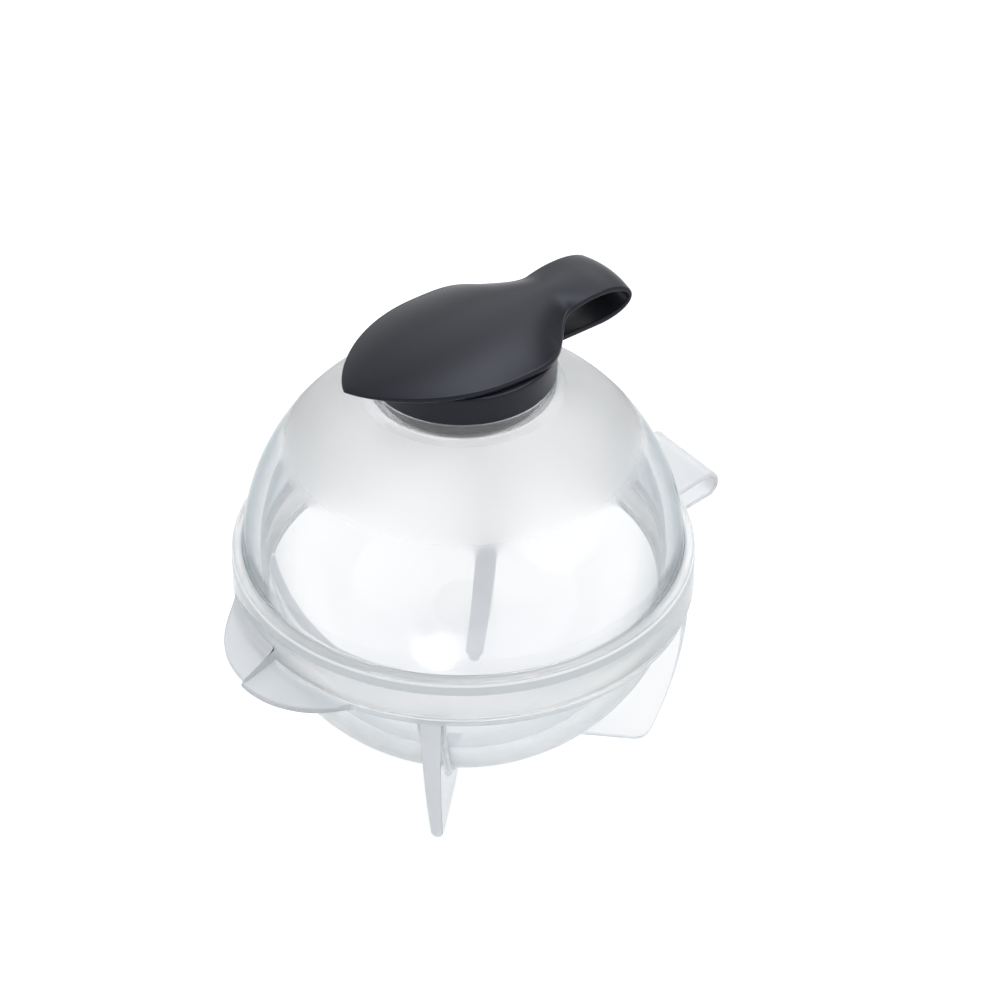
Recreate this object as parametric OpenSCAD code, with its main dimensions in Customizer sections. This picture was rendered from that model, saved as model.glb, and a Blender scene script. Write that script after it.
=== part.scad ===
// Hinged mould for one round ice ball: a clear domed upper half with a filler neck,
// a clear lower bowl on four fin feet, a strap hinge and a black soft stopper
// with a leaf-shaped grip and a pull loop. Millimetres, +Z up, standing on Z = 0.

/* [Ball] */
// Diameter of the ice ball
ball_d = 63.5; // [45:0.5:75]
// Wall of the dome
dome_t = 2.8; // [1.8:0.1:4]
// Wall of the bowl
bowl_t = 3.1; // [1.8:0.1:4]
// Gap between the underside of the bowl and the table
bowl_clear = 1.15; // [0.5:0.05:4]

/* [Rim] */
// Wall of the lower half's rim, which stands inside the skirt
rim_t = 2.3; // [1.6:0.1:3]
// Clearance between the rim and the skirt around it
rim_gap = 0.3; // [0.2:0.05:0.6]
// Clearance between the two halves where they close
seat_gap = 0.1; // [0:0.05:0.3]
// Thickness of the skirt on the upper half
skirt_t = 1.85; // [1.2:0.05:3]
// Height of the skirt
skirt_h = 7.4; // [5:0.1:10]
// How far the skirt stands above the joint of the two halves
skirt_rise = 1.2; // [0.8:0.1:2]
// Radius of the skirt's upper outer edge
skirt_round = 1.1; // [0.3:0.1:1.4]
// Thickness of the ledge that the skirt sits on
ledge_t = 1.2; // [0.8:0.1:2.5]
// How far the ledge's edge lies inside the skirt's face
ledge_inset = 0.4; // [0.3:0.05:1]
// Lead-in chamfer of the rim and the neck
lead_in = 0.4; // [0.2:0.05:0.8]

/* [Filler neck] */
// Diameter of the neck's bore
neck_d = 25; // [16:0.5:30]
// Wall of the neck
neck_t = 1.7; // [1:0.1:2.5]
// Height of the neck above the dome
neck_rise = 1.95; // [1:0.05:6]

/* [Lift tabs] */
// Reach of the tabs beyond the skirt
tab_reach = 5.8; // [4:0.1:9]
// Radius of the tabs' rounded outline
tab_disc_r = 17; // [13:0.5:22]
// Thickness of the tabs at their outer edge
tab_t = 1.2; // [0.8:0.1:2]
// How far the tabs slope down towards their outer edge
tab_drop = 1.7; // [0.5:0.1:3]
// Height of the hollow blend from the skirt into the upper tab
tab_blend = 3.8; // [1.5:0.1:4.5]
// Gap between the upper tab and the lower tab beside it
tab_gap = 0.4; // [0.3:0.05:1]

/* [Hinge strap] */
// Width of the strap
strap_w = 14.5; // [8:0.5:20]
// Thickness of the strap
strap_t = 0.9; // [0.5:0.05:1.2]
// Radius of the strap's fold, to the middle of its thickness
strap_fold_r = 1.95; // [1.5:0.05:2.4]
// Distance of the fold's axis from the skirt
strap_out = 7.1; // [5:0.1:12]
// Upward slope of the strap's upper run, in degrees
strap_up = 11; // [4:1:16]
// Downward slope of the strap's lower run, in degrees
strap_down = 8; // [4:1:12]
// Gap between the strap's upper end and the skirt at rest
strap_gap = 0.1; // [0.05:0.05:0.3]

/* [Fin feet] */
// How far the fins' outer edge lies inside the ledge's edge
fin_inset = 0.3; // [0.1:0.1:2]
// How far the fins' outer edge leans in between the ledge and the table
fin_lean = 6.2; // [2:0.1:12]
// Radius of the feet's rounded corner
fin_round = 3; // [1:0.1:4]
// Thickness of a fin at the table
fin_foot_t = 1.7; // [1:0.1:3]
// Thickness of a fin at the ledge
fin_root_t = 3.4; // [1.8:0.1:5]
// Radius where the flat of the foot ends towards the middle
fin_flat_r = 14.5; // [13:0.5:18]
// Radius where a fin runs out under the bowl
fin_in_r = 12; // [6:0.5:12.5]

/* [Stopper] */
// Clearance between the plug and the neck's bore
plug_gap = 0.25; // [0.2:0.05:0.4]
// Height of the sealing ribs on the plug
rib_h = 0.15; // [0.05:0.05:0.18]
// How far the plug's head, which rests on the neck, stands out beyond it
head_over = 0.3; // [0:0.05:3]
// Height of the plug's head
head_h = 4.85; // [3.6:0.05:8]
// Clearance between the head and the neck's mouth
head_gap = 0.05; // [0:0.05:0.3]
// Reach of the leaf's tip from the middle of the neck
leaf_tip = 22.1; // [18:0.1:28]
// Greatest width of the leaf
leaf_w = 26.9; // [20:0.1:34]
// Thickness of the leaf at its edge
leaf_t = 1; // [0.6:0.05:2]
// Thickness of the leaf's edge at its tip
leaf_tip_t = 0.4; // [0.2:0.05:1]
// Height of the leaf's crown above its edge, at the loop
leaf_crown = 3.25; // [1:0.05:5]
// Width of the strap of the pull loop
loop_w = 11.4; // [7:0.2:16]
// Thickness of the strap of the pull loop
loop_t = 0.9; // [0.6:0.05:1.4]
// Height of the opening in the loop
loop_open = 4.35; // [3:0.05:7]
// Rise of the loop's upper run above the underside of the leaf
loop_up = 3.05; // [2:0.05:5]
// Length over which the strap rises out of the leaf
loop_rise_l = 11.5; // [6:0.1:14]
// How much of that rise lies over the plug's head
loop_over_head = 4; // [0:0.1:6]
// Length of the loop's round end
loop_end_l = 6.05; // [3:0.05:9]
// Length behind the head over which the leaf narrows to the strap
loop_slim_l = 2.1; // [0.5:0.1:4]
// Crown of the loop's strap
loop_crown = 0.6; // [0:0.05:0.8]

/* [Hidden] */
$fn = 128;
ball_r = ball_d / 2;
dome_r = ball_r + dome_t;
bowl_r = ball_r + bowl_t;
ball_z = bowl_r + bowl_clear;
rim_r = ball_r + rim_t;
skirt_in_r = rim_r + rim_gap;
skirt_r = skirt_in_r + skirt_t;
skirt_top = skirt_rise;
skirt_bot = skirt_rise - skirt_h;
ledge_r = skirt_r - ledge_inset;
ledge_top = skirt_bot - seat_gap / 2;
ledge_bot = ledge_top - ledge_t;
// Fins, hung from the ledge
fin_top_r = ledge_r - fin_inset;
fin_foot_r = fin_top_r - fin_lean;
// Neck, measured from the middle of the ball
neck_bore_r = neck_d / 2;
neck_r = neck_bore_r + neck_t;
neck_top = sqrt(dome_r * dome_r - neck_r * neck_r) + neck_rise;
// Tabs: the rounded outline is part of a circle
tab_r = skirt_r + tab_reach;
tab_centre = tab_r - tab_disc_r;
tab_side = tab_gap / 2;
// Strap: axis of its fold
strap_y = skirt_r + strap_out;
strap_z = skirt_bot + strap_fold_r + strap_t / 2;
strap_end = strap_y + strap_fold_r + strap_t / 2;
// The part is centred between the tabs' and the strap's reach
axis_y = (tab_r - strap_end) / 2;
// Stopper
plug_r = neck_bore_r - plug_gap;
head_r = neck_r + head_over;
head_z = neck_top + head_gap;
leaf_z = head_z + head_h;
leaf_wide_y = 0.3;
leaf_past_head = 0.3;
leaf_end_y = head_r + leaf_past_head;
leaf_slim_y = head_r + loop_slim_l;
loop_half_h = (loop_open + loop_t) / 2;
loop_top = leaf_z + loop_up;
loop_bot = loop_top - 2 * loop_half_h;
loop_rise_y = head_r - loop_over_head;
loop_fold_y = loop_rise_y + loop_rise_l;
anchor_y = leaf_end_y;
far = 4 * dome_r;
clear_colour = [0.86, 0.9, 0.93, 0.45];
stopper_colour = [0.13, 0.13, 0.14];

// Sets the ball's middle over the table
module placed() {
    translate([0, axis_y, ball_z]) children();
}

module ball() {
    sphere(r = ball_r);
}

module above(z) {
    translate([-far, -far, z]) cube([2 * far, 2 * far, far]);
}

module below(z) {
    translate([-far, -far, z - far]) cube([2 * far, 2 * far, far]);
}

// Upper half: spherical wall, open at the neck
module dome_solid() {
    intersection() {
        sphere(r = dome_r);
        above(seat_gap);
    }
}

module dome_shell() {
    color(clear_colour) placed() difference() {
        dome_solid();
        ball();
        cylinder(r = neck_r, h = 2 * dome_r);
    }
}

// Collar round the filler hole, with a lead-in at its mouth
module filler_neck() {
    color(clear_colour) placed() difference() {
        rotate_extrude() polygon([
            [neck_bore_r, ball_r / 2],
            [neck_r, ball_r / 2],
            [neck_r, neck_top - lead_in],
            [neck_r - lead_in, neck_top],
            [neck_bore_r + lead_in, neck_top],
            [neck_bore_r, neck_top - lead_in]]);
        ball();
    }
}

// Section of the skirt: a straight band with a rounded upper edge
module skirt_section() {
    difference() {
        polygon([
            [skirt_in_r + lead_in, skirt_bot],
            [skirt_r - lead_in, skirt_bot],
            [skirt_r, skirt_bot + lead_in],
            [skirt_r, skirt_top],
            [skirt_in_r, skirt_top],
            [skirt_in_r, skirt_bot + lead_in]]);
        translate([skirt_r - skirt_round, skirt_top - skirt_round]) difference() {
            square(2 * skirt_round);
            circle(r = skirt_round);
        }
    }
}

module rim_skirt() {
    color(clear_colour) placed() difference() {
        rotate_extrude() skirt_section();
        dome_solid();
    }
}

// Rounded outline that the two lift tabs share, half each
module tab_outline(side) {
    intersection() {
        translate([0, -tab_centre, -far]) cylinder(r = tab_disc_r, h = 2 * far);
        translate([side > 0 ? tab_side : -far - tab_side, -far, -far]) cube([far, far, 2 * far]);
    }
}

// Upper tab: the skirt flares out into it through a hollow blend
module lift_tab_upper() {
    steps = 10;
    blend = [for (i = [0:steps]) let (q = i / steps)
        [skirt_r + q * (tab_reach + 1), skirt_bot - tab_drop + tab_t + tab_blend * pow(1 - q, 3)]];
    color(clear_colour) placed() intersection() {
        difference() {
            rotate_extrude() polygon(concat(blend, [
                [tab_r + 1, skirt_bot - tab_drop],
                [skirt_r, skirt_bot + lead_in],
                [skirt_r - 1, skirt_bot + lead_in],
                [skirt_r - 1, blend[0][1]]]));
            cylinder(r = skirt_r, h = 2 * skirt_h, center = true);
        }
        tab_outline(-1);
    }
}

// Lower half: spherical wall under the ledge
module bowl_shell() {
    color(clear_colour) placed() difference() {
        intersection() {
            sphere(r = bowl_r);
            below(ledge_bot);
        }
        ball();
    }
}

// Rim that stands inside the skirt, and the ledge that the skirt sits on
module rim_ledge() {
    color(clear_colour) placed() difference() {
        rotate_extrude() polygon([
            [ball_r / 2, ledge_bot],
            [ledge_r, ledge_bot],
            [ledge_r, ledge_top],
            [rim_r, ledge_top],
            [rim_r, -lead_in],
            [rim_r - lead_in, 0],
            [ball_r / 2, 0]]);
        ball();
    }
}

// Lower tab: a plain sloping lip on the ledge
module lift_tab_lower() {
    color(clear_colour) placed() intersection() {
        difference() {
            rotate_extrude() polygon([
                [ledge_r - 1, ledge_top],
                [ledge_r, ledge_top],
                [tab_r + 1, ledge_top - tab_drop],
                [tab_r + 1, ledge_top - tab_drop - tab_t],
                [ledge_r, ledge_bot],
                [ledge_r - 1, ledge_bot]]);
            cylinder(r = ledge_r, h = 2 * skirt_h + 2 * ledge_t + 2 * tab_drop, center = true);
        }
        tab_outline(1);
    }
}

// Outline of a fin, out from the axis and up: a raked, swelling outer edge,
// a rounded corner, a flat foot and a run-out under the bowl
function fin_edge(q) = [
    fin_top_r - fin_lean * pow(q, 1.8),
    ledge_bot - q * (ball_z + ledge_bot)];

module fin_outline() {
    rake = atan(1.8 * fin_lean / (ball_z + ledge_bot));
    reach = fin_round / tan(45 + rake / 2);
    q_end = 1 - reach * cos(rake) / (ball_z + ledge_bot);
    corner = [fin_foot_r - reach, fin_round - ball_z];
    polygon(concat(
        [[0, ledge_bot]],
        [for (i = [0:12]) fin_edge(q_end * i / 12)],
        [for (i = [1:6]) let (a = -rake - (90 - rake) * i / 6)
            corner + fin_round * [cos(a), sin(a)]],
        [[fin_flat_r, -ball_z], [fin_in_r, bowl_clear - ball_z],
            [fin_in_r, 0 - ball_r], [0, 0 - ball_r]]));
}

// Cross-section of a fin, thinner towards the table
module fin_taper() {
    polygon([
        [-fin_foot_t / 2, -ball_z],
        [fin_foot_t / 2, -ball_z],
        [fin_root_t / 2, ledge_bot],
        [-fin_root_t / 2, ledge_bot]]);
}

module foot_fin(turn) {
    color(clear_colour) placed() rotate([0, 0, turn]) difference() {
        intersection() {
            rotate([90, 0, 0]) translate([0, 0, -fin_root_t])
                linear_extrude(2 * fin_root_t) fin_outline();
            rotate([90, 0, 90]) linear_extrude(2 * dome_r) fin_taper();
        }
        sphere(r = bowl_r);
        translate([0, 0, -ball_z - 1]) cylinder(r = fin_in_r, h = ball_z);
    }
}

module foot_fin_front_right() { foot_fin(-45); }
module foot_fin_front_left() { foot_fin(-135); }
module foot_fin_back_right() { foot_fin(45); }
module foot_fin_back_left() { foot_fin(135); }

// Strap hinge: two thin runs and the fold that the upper half swings about
module strap_section() {
    translate([strap_y, strap_z]) {
        difference() {
            circle(r = strap_fold_r + strap_t / 2);
            circle(r = strap_fold_r - strap_t / 2);
            rotate(strap_up) translate([-far, 0]) square(far);
            rotate(strap_down) translate([-far, -far]) square(far);
        }
        rotate(strap_up) translate([-2 * strap_out, strap_fold_r - strap_t / 2])
            square([2 * strap_out, strap_t]);
        rotate(strap_down) translate([-2 * strap_out, -strap_fold_r - strap_t / 2])
            square([2 * strap_out, strap_t]);
    }
}

module hinge_strap() {
    color(clear_colour) placed() difference() {
        translate([-strap_w / 2, 0, 0]) rotate([90, 0, 90]) linear_extrude(strap_w) strap_section();
        translate([0, 0, skirt_bot - seat_gap / 2]) cylinder(r = skirt_r + strap_gap, h = skirt_h + far);
        translate([0, 0, -far]) cylinder(r = ledge_r, h = 2 * far);
    }
}

// Plug: sealing ribs in the neck, a hollow underside that completes the ball,
// a head that rests on the neck and a flat pad where the pull loop comes back to it
module stopper_plug() {
    seat_l = neck_top - sqrt(ball_r * ball_r - neck_bore_r * neck_bore_r);
    color(stopper_colour) placed() difference() {
        union() {
            rotate_extrude() polygon([
                [0, ball_r / 2],
                [plug_r, ball_r / 2],
                [plug_r, head_z],
                [head_r, head_z],
                [head_r, leaf_z],
                [0, leaf_z]]);
            for (k = [0.3, 0.7])
                translate([0, 0, neck_top - k * seat_l])
                    rotate_extrude() translate([plug_r - 2 * rib_h, 0]) circle(r = 3 * rib_h);
            translate([-loop_w / 2, 0, loop_bot - loop_t / 2]) cube([loop_w, anchor_y, loop_t]);
        }
        ball();
    }
}

// Way from the leaf's widest place to its tip, and from the leaf's level up to the loop's, 0 to 1
function tip_way(y) = max(0, (leaf_wide_y - y) / (leaf_wide_y + leaf_tip));
function loop_way(y) = let (q = min(1, max(0, y - loop_rise_y) / loop_rise_l))
    1 - pow(1 - pow(q, 1.5), 2.5);

// Half width of the leaf and of the strap that it narrows into
function leaf_half(y) = y < leaf_wide_y
    ? leaf_w / 2 * pow(1 - pow(tip_way(y), 2), 0.78)
    : y > leaf_slim_y ? loop_w / 2
    : loop_w / 2 + (leaf_w - loop_w) / 4
        * (1 + cos(180 * pow((y - leaf_wide_y) / (leaf_slim_y - leaf_wide_y), 2)));

// Crown of the leaf, rising from its tip to the place where the loop starts to rise
function leaf_rise(y) = leaf_crown
    * (1 - pow(max(0, loop_rise_y - y) / (loop_rise_y + leaf_tip), 2));

// One cross-section of the soft sheet: place and normal on its middle line,
// half width, edge thickness, and the crowns of its upper and lower face
function sheet_ring(y, z, ny, nz, w, t, top, low) = let (n = 6) concat(
    [for (i = [-n:n]) let (f = i / n, h = t / 2 + top * (1 - f * f)) [f * w, y + h * ny, z + h * nz]],
    [for (i = [-n:n]) let (f = -i / n, h = low * (1 - f * f) - t / 2) [f * w, y + h * ny, z + h * nz]]);

// Cross-section of the leaf, or of the strap that rises out of it
function grip_ring(y) = let (
    m = loop_way(y),
    t = leaf_t + (loop_t - leaf_t) * m - (leaf_t - leaf_tip_t) * pow(tip_way(y), 3),
    level = leaf_z + leaf_t - t / 2)
    sheet_ring(y, level + (loop_top - level) * m, 0, 1, leaf_half(y), t,
        leaf_rise(y) + (loop_crown - leaf_crown) * m, loop_crown * m);

// Joins the cross-sections into one closed solid
module sheet(rings) {
    m = len(rings[0]);
    last = (len(rings) - 1) * m;
    half = m / 2 - 2;
    polyhedron(
        points = [for (ring = rings) each ring],
        faces = concat(
            [for (j = [0:half]) each [[j, j + 1, m - 2 - j], [j, m - 2 - j, m - 1 - j]]],
            [for (i = [0:m:last - m]) for (j = [0:m - 1]) let (k = (j + 1) % m)
                each [[i + j, i + m + j, i + m + k], [i + j, i + m + k, i + k]]],
            [for (j = [0:half]) each [
                [last + j, last + m - 2 - j, last + j + 1],
                [last + j, last + m - 1 - j, last + m - 2 - j]]]),
        convexity = 8);
}

// Leaf: flat underneath, crowned on top, pointed at the front
module stopper_leaf() {
    steps = 20;
    blunt = 0.995;
    front = [for (i = [0:steps]) leaf_wide_y - (leaf_wide_y + leaf_tip) * blunt * cos(90 * i / steps)];
    back = [for (i = [1:steps]) leaf_wide_y + (leaf_end_y - leaf_wide_y) * i / steps];
    color(stopper_colour) placed() sheet([for (y = concat(front, back)) grip_ring(y)]);
}

// Pull loop: rises out of the leaf, turns over in half an ellipse and comes back to the plug's head
module pull_loop() {
    rise = [for (i = [0:9]) grip_ring(leaf_end_y + (loop_fold_y - leaf_end_y) * i / 10)];
    fold = [for (i = [0:20]) let (
        a = 90 - 180 * i / 20,
        n = [cos(a) / loop_end_l, sin(a) / loop_half_h])
        sheet_ring(loop_fold_y + loop_end_l * cos(a), loop_bot + loop_half_h * (1 + sin(a)),
            n.x / norm(n), n.y / norm(n), loop_w / 2, loop_t, loop_crown, loop_crown)];
    back = [for (i = [1:6]) let (q = i / 6, c = loop_crown * (1 - q * q * (3 - 2 * q)))
        sheet_ring(loop_fold_y + q * (anchor_y - loop_fold_y), loop_bot, 0, -1,
            loop_w / 2, loop_t, c, c)];
    color(stopper_colour) placed() sheet(concat(rise, fold, back));
}

dome_shell();
filler_neck();
rim_skirt();
lift_tab_upper();
bowl_shell();
rim_ledge();
lift_tab_lower();
foot_fin_front_right();
foot_fin_front_left();
foot_fin_back_right();
foot_fin_back_left();
hinge_strap();
stopper_plug();
stopper_leaf();
pull_loop();
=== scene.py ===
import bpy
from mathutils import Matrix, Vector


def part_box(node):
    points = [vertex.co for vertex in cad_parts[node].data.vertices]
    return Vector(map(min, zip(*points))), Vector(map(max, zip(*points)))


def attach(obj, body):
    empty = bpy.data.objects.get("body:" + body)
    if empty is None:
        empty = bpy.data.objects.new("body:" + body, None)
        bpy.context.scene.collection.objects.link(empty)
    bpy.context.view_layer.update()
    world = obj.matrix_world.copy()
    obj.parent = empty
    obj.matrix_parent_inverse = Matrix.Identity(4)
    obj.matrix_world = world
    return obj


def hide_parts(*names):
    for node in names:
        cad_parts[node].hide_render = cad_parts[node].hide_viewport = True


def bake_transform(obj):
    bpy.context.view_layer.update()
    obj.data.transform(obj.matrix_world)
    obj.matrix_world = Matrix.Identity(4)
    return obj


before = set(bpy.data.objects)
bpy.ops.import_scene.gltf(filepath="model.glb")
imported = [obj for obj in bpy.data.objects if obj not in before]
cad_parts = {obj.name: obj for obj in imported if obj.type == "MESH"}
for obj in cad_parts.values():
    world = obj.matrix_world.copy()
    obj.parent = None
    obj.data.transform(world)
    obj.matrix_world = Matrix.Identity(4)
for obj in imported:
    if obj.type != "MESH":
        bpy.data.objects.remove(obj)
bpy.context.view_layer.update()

import bmesh
import bpy
import numpy as np
from mathutils import Matrix

# Lower half: a clear bowl, a rim that stands inside the upper half's skirt, a ledge that the skirt sits on,
# and the right half of the lift lip. One injection moulding in clear plastic, about 3 mm thick. The wall is
# polished; the rim, the ledge and the lip are satin.
MM = 0.001
bowl_low, bowl_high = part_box("bowl_shell")
BALL = np.array([0.0, (bowl_low[1] + bowl_high[1]) / 2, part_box("rim_ledge")[1][2]])
BALL_R, BOWL_R, RIM_R, LEDGE_R = 31.75, 34.85, 34.05, 35.8
LEDGE_TOP, LEDGE_BOT, RIM_LEAD_IN = -6.25, -7.45, 0.4
LIP_FROM_R, LIP_SLOPE, LIP_EDGE = LEDGE_R - 0.45, 0.236, 0.42
LIP_DISC_R, LIP_CENTRE = 17.0, 25.0
LIP_SIDE, LIP_UNDER, LIP_END, LIP_STEP = 26, -1.0, -0.1, 0.002  # degrees round from the front
BOWL_FROM = -12.35  # degrees from level, where the bowl's wall leaves the ledge


def arc(centre_r, centre_z, radius, start, stop, count):
    """Arc in the (r, z) plane: centre + radius (cos a, sin a), with a from start to stop in degrees."""
    a = np.radians(np.linspace(start, stop, count))
    return np.stack([centre_r + radius * np.cos(a), centre_z + radius * np.sin(a)], -1)


def soft_outline(runs, soft):
    """Runs of (r, z) points joined end to end. The corner after run i is eased over soft[i]: both runs are
    cut back by that length, and the parabola (1-t)^2 A + 2t(1-t) C + t^2 B goes round the corner C from A
    to B."""
    out = []
    for i, run in enumerate(runs):
        run = np.asarray(run, float)
        along = np.concatenate([[0], np.cumsum(np.linalg.norm(np.diff(run, axis=0), axis=1))])
        first = soft[i - 1] if i else 0.0
        last = soft[i] if i < len(soft) else 0.0
        keep = np.clip(first + np.linspace(0, 1, len(run)) * (along[-1] - first - last), 0, along[-1])
        cut = np.stack([np.interp(keep, along, run[:, 0]), np.interp(keep, along, run[:, 1])], -1)
        if i and first > 0:
            t = np.linspace(0, 1, 7)[1:-1, None]
            out.append((1 - t) ** 2 * out[-1][-1] + 2 * t * (1 - t) * run[0] + t**2 * cut[0])
        elif i:
            cut = cut[1:]
        out.append(cut)
    return np.concatenate(out)


def lip_reach(turn, plain_r):
    """Outer radius at a turn from the front: the far side of the lip's disc, which is
    25 cos(turn) + sqrt(17^2 - 25^2 sin^2(turn)), and the plain rim where the disc doesn't reach it."""
    across = LIP_DISC_R**2 - (LIP_CENTRE * np.sin(turn)) ** 2
    reach = LIP_CENTRE * np.cos(turn) + np.sqrt(np.maximum(across, 0))
    return np.where((across > 0) & (np.cos(turn) > 0), np.maximum(reach, plain_r), plain_r)


def turned(section, turn):
    """Section (turns, points, 2) of radii and heights, set round the ball's axis: x = r sin(turn) and
    y = -r cos(turn). A section for one turn serves all of them."""
    section = np.broadcast_to(section, (len(turn), *section.shape[-2:]))
    r, z = section[..., 0], section[..., 1]
    return BALL + MM * np.stack([r * np.sin(turn)[:, None], -r * np.cos(turn)[:, None], z], -1)


def lipped(before, lip, after):
    """Section at each turn: shared points before the lip, the lip's own points, shared points after it."""
    turns = len(lip)
    return np.concatenate([np.broadcast_to(before, (turns, *before.shape)), lip,
                           np.broadcast_to(after, (turns, *after.shape))], 1)


def skin(name, points, wrap_u=True, wrap_v=False, ends=(), crease=35):
    """Mesh on a grid of points (u, v, 3): quads between neighbours, wrapped round in u or v, with flat end
    faces over the rows in ends. Doubles at poles and seams are merged and the faces are turned outwards."""
    nu, nv = points.shape[:2]
    u, v = np.arange(nu if wrap_u else nu - 1), np.arange(nv if wrap_v else nv - 1)
    u, v = (g.ravel() for g in np.meshgrid(u, v, indexing="ij"))
    u1, v1 = (u + 1) % nu, (v + 1) % nv
    quads = np.stack([u * nv + v, u1 * nv + v, u1 * nv + v1, u * nv + v1], -1).tolist()
    quads += [(row * nv + np.arange(nv)).tolist() for row in ends]
    mesh = bpy.data.meshes.new(name)
    mesh.from_pydata(points.reshape(-1, 3).tolist(), [], quads)
    bm = bmesh.new()
    bm.from_mesh(mesh)
    bmesh.ops.remove_doubles(bm, verts=bm.verts, dist=2e-7)
    bmesh.ops.dissolve_degenerate(bm, edges=bm.edges, dist=1e-7)
    bmesh.ops.recalc_face_normals(bm, faces=bm.faces)
    if bm.calc_volume(signed=True) < 0:
        bmesh.ops.reverse_faces(bm, faces=bm.faces)
    bm.to_mesh(mesh)
    bm.free()
    mesh.polygons.foreach_set("use_smooth", np.ones(len(mesh.polygons), bool))
    mesh.set_sharp_from_angle(angle=np.radians(crease))
    piece = bpy.data.objects.new(name, mesh)
    bpy.context.collection.objects.link(piece)
    return piece


def empty_tree(owner):
    """Node tree of a material or a world, with its ready-made nodes taken out."""
    owner.use_nodes = True
    owner.node_tree.nodes.clear()
    return owner.node_tree


def wire(tree, kind, at, **values):
    """New node of a kind at a place, with its input sockets or settings set by name."""
    node = tree.nodes.new(kind)
    node.location = at
    for key, value in values.items():
        if key in node.inputs:
            node.inputs[key].default_value = value
        else:
            setattr(node, key, value)
    return node


def maths(tree, operation, at, *inputs):
    """Output of a new Math node, whose inputs are plain numbers or the outputs of other nodes."""
    node = wire(tree, "ShaderNodeMath", at, operation=operation)
    for socket, value in zip(node.inputs, inputs):
        if isinstance(value, float):
            socket.default_value = value
        else:
            tree.links.new(value, socket)
    return node.outputs[0]


def from_ball(group):
    """Object coordinates inside a node group, and the same measured from the ball's middle."""
    place = wire(group, "ShaderNodeTexCoord", (-1400, 300))
    centred = wire(group, "ShaderNodeVectorMath", (-1200, 300), operation="SUBTRACT")
    centred.inputs[1].default_value = BALL
    group.links.new(place.outputs["Object"], centred.inputs[0])
    return place.outputs["Object"], centred.outputs[0]


def moulded_surface():
    """Node group for moulded clear plastic: a faint flow of the melt in the tint, fine handling marks in
    the roughness, and a misted face between two heights over the ball's middle, where the mould was left
    matt. Clear is 1 on the polished wall and small on the misted one."""
    group = bpy.data.node_groups.new("moulded surface", "ShaderNodeTree")
    for name, kind, value in (
        ("Tint", "NodeSocketColor", (0.984, 0.987, 0.995, 1)),
        ("Mist Tint", "NodeSocketColor", (0.99, 0.992, 0.995, 1)),
        ("Polish", "NodeSocketFloat", 0.02),
        ("Mist", "NodeSocketFloat", 0.4),
        ("Mist Height", "NodeSocketFloat", 1.0),
        ("Mist Top", "NodeSocketFloat", 1.0),
        ("Mist Fade", "NodeSocketFloat", 0.001),
    ):
        group.interface.new_socket(name, in_out="INPUT", socket_type=kind).default_value = value
    group.interface.new_socket("Colour", in_out="OUTPUT", socket_type="NodeSocketColor")
    for name in ("Roughness", "Height", "Clear"):
        group.interface.new_socket(name, in_out="OUTPUT", socket_type="NodeSocketFloat")
    given = wire(group, "NodeGroupInput", (-1400, 0)).outputs
    leave = wire(group, "NodeGroupOutput", (700, 0)).inputs
    link = group.links.new
    place, centred = from_ball(group)
    parts = wire(group, "ShaderNodeSeparateXYZ", (-1000, 300))
    link(centred, parts.inputs[0])
    past = []
    for row, limit, sharp in ((450, "Mist Height", 1.0), (650, "Mist Top", 0.25)):
        beyond = maths(group, "SUBTRACT", (-800, row), parts.outputs["Z"], given[limit])
        ease = wire(group, "ShaderNodeMapRange", (-400, row), interpolation_type="SMOOTHSTEP",
                    **{"From Max": sharp})
        link(maths(group, "DIVIDE", (-600, row), beyond, given["Mist Fade"]), ease.inputs["Value"])
        past.append(ease.outputs[0])
    mist = maths(group, "SUBTRACT", (-200, 450), *past)
    flow = wire(group, "ShaderNodeTexNoise", (-600, 50), Scale=45.0, Detail=3.0, Roughness=0.5)
    marks = wire(group, "ShaderNodeTexNoise", (-600, -200), Scale=900.0, Detail=4.0, Roughness=0.6)
    tint = wire(group, "ShaderNodeMix", (0, 200), data_type="RGBA")
    streaks = wire(group, "ShaderNodeMapRange", (0, 0), **{"To Min": 0.988, "To Max": 1.0})
    colour = wire(group, "ShaderNodeMix", (250, 150), data_type="RGBA", blend_type="MULTIPLY", Factor=1.0)
    gloss = wire(group, "ShaderNodeMix", (0, -200), data_type="FLOAT")
    clear = wire(group, "ShaderNodeMapRange", (250, 450), **{"To Min": 1.0, "To Max": 0.15})
    link(place, flow.inputs["Vector"])
    link(place, marks.inputs["Vector"])
    link(mist, tint.inputs["Factor"])
    link(given["Tint"], tint.inputs["A"])
    link(given["Mist Tint"], tint.inputs["B"])
    link(flow.outputs["Fac"], streaks.inputs["Value"])
    link(tint.outputs["Result"], colour.inputs["A"])
    link(streaks.outputs[0], colour.inputs["B"])
    link(mist, gloss.inputs["Factor"])
    link(given["Polish"], gloss.inputs["A"])
    link(given["Mist"], gloss.inputs["B"])
    worn = maths(group, "MULTIPLY_ADD", (250, -300), marks.outputs["Fac"], 0.02, gloss.outputs["Result"])
    link(mist, clear.inputs["Value"])
    link(colour.outputs["Result"], leave["Colour"])
    link(worn, leave["Roughness"])
    link(flow.outputs["Fac"], leave["Height"])
    link(clear.outputs[0], leave["Clear"])
    return group


moulded = moulded_surface()


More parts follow.
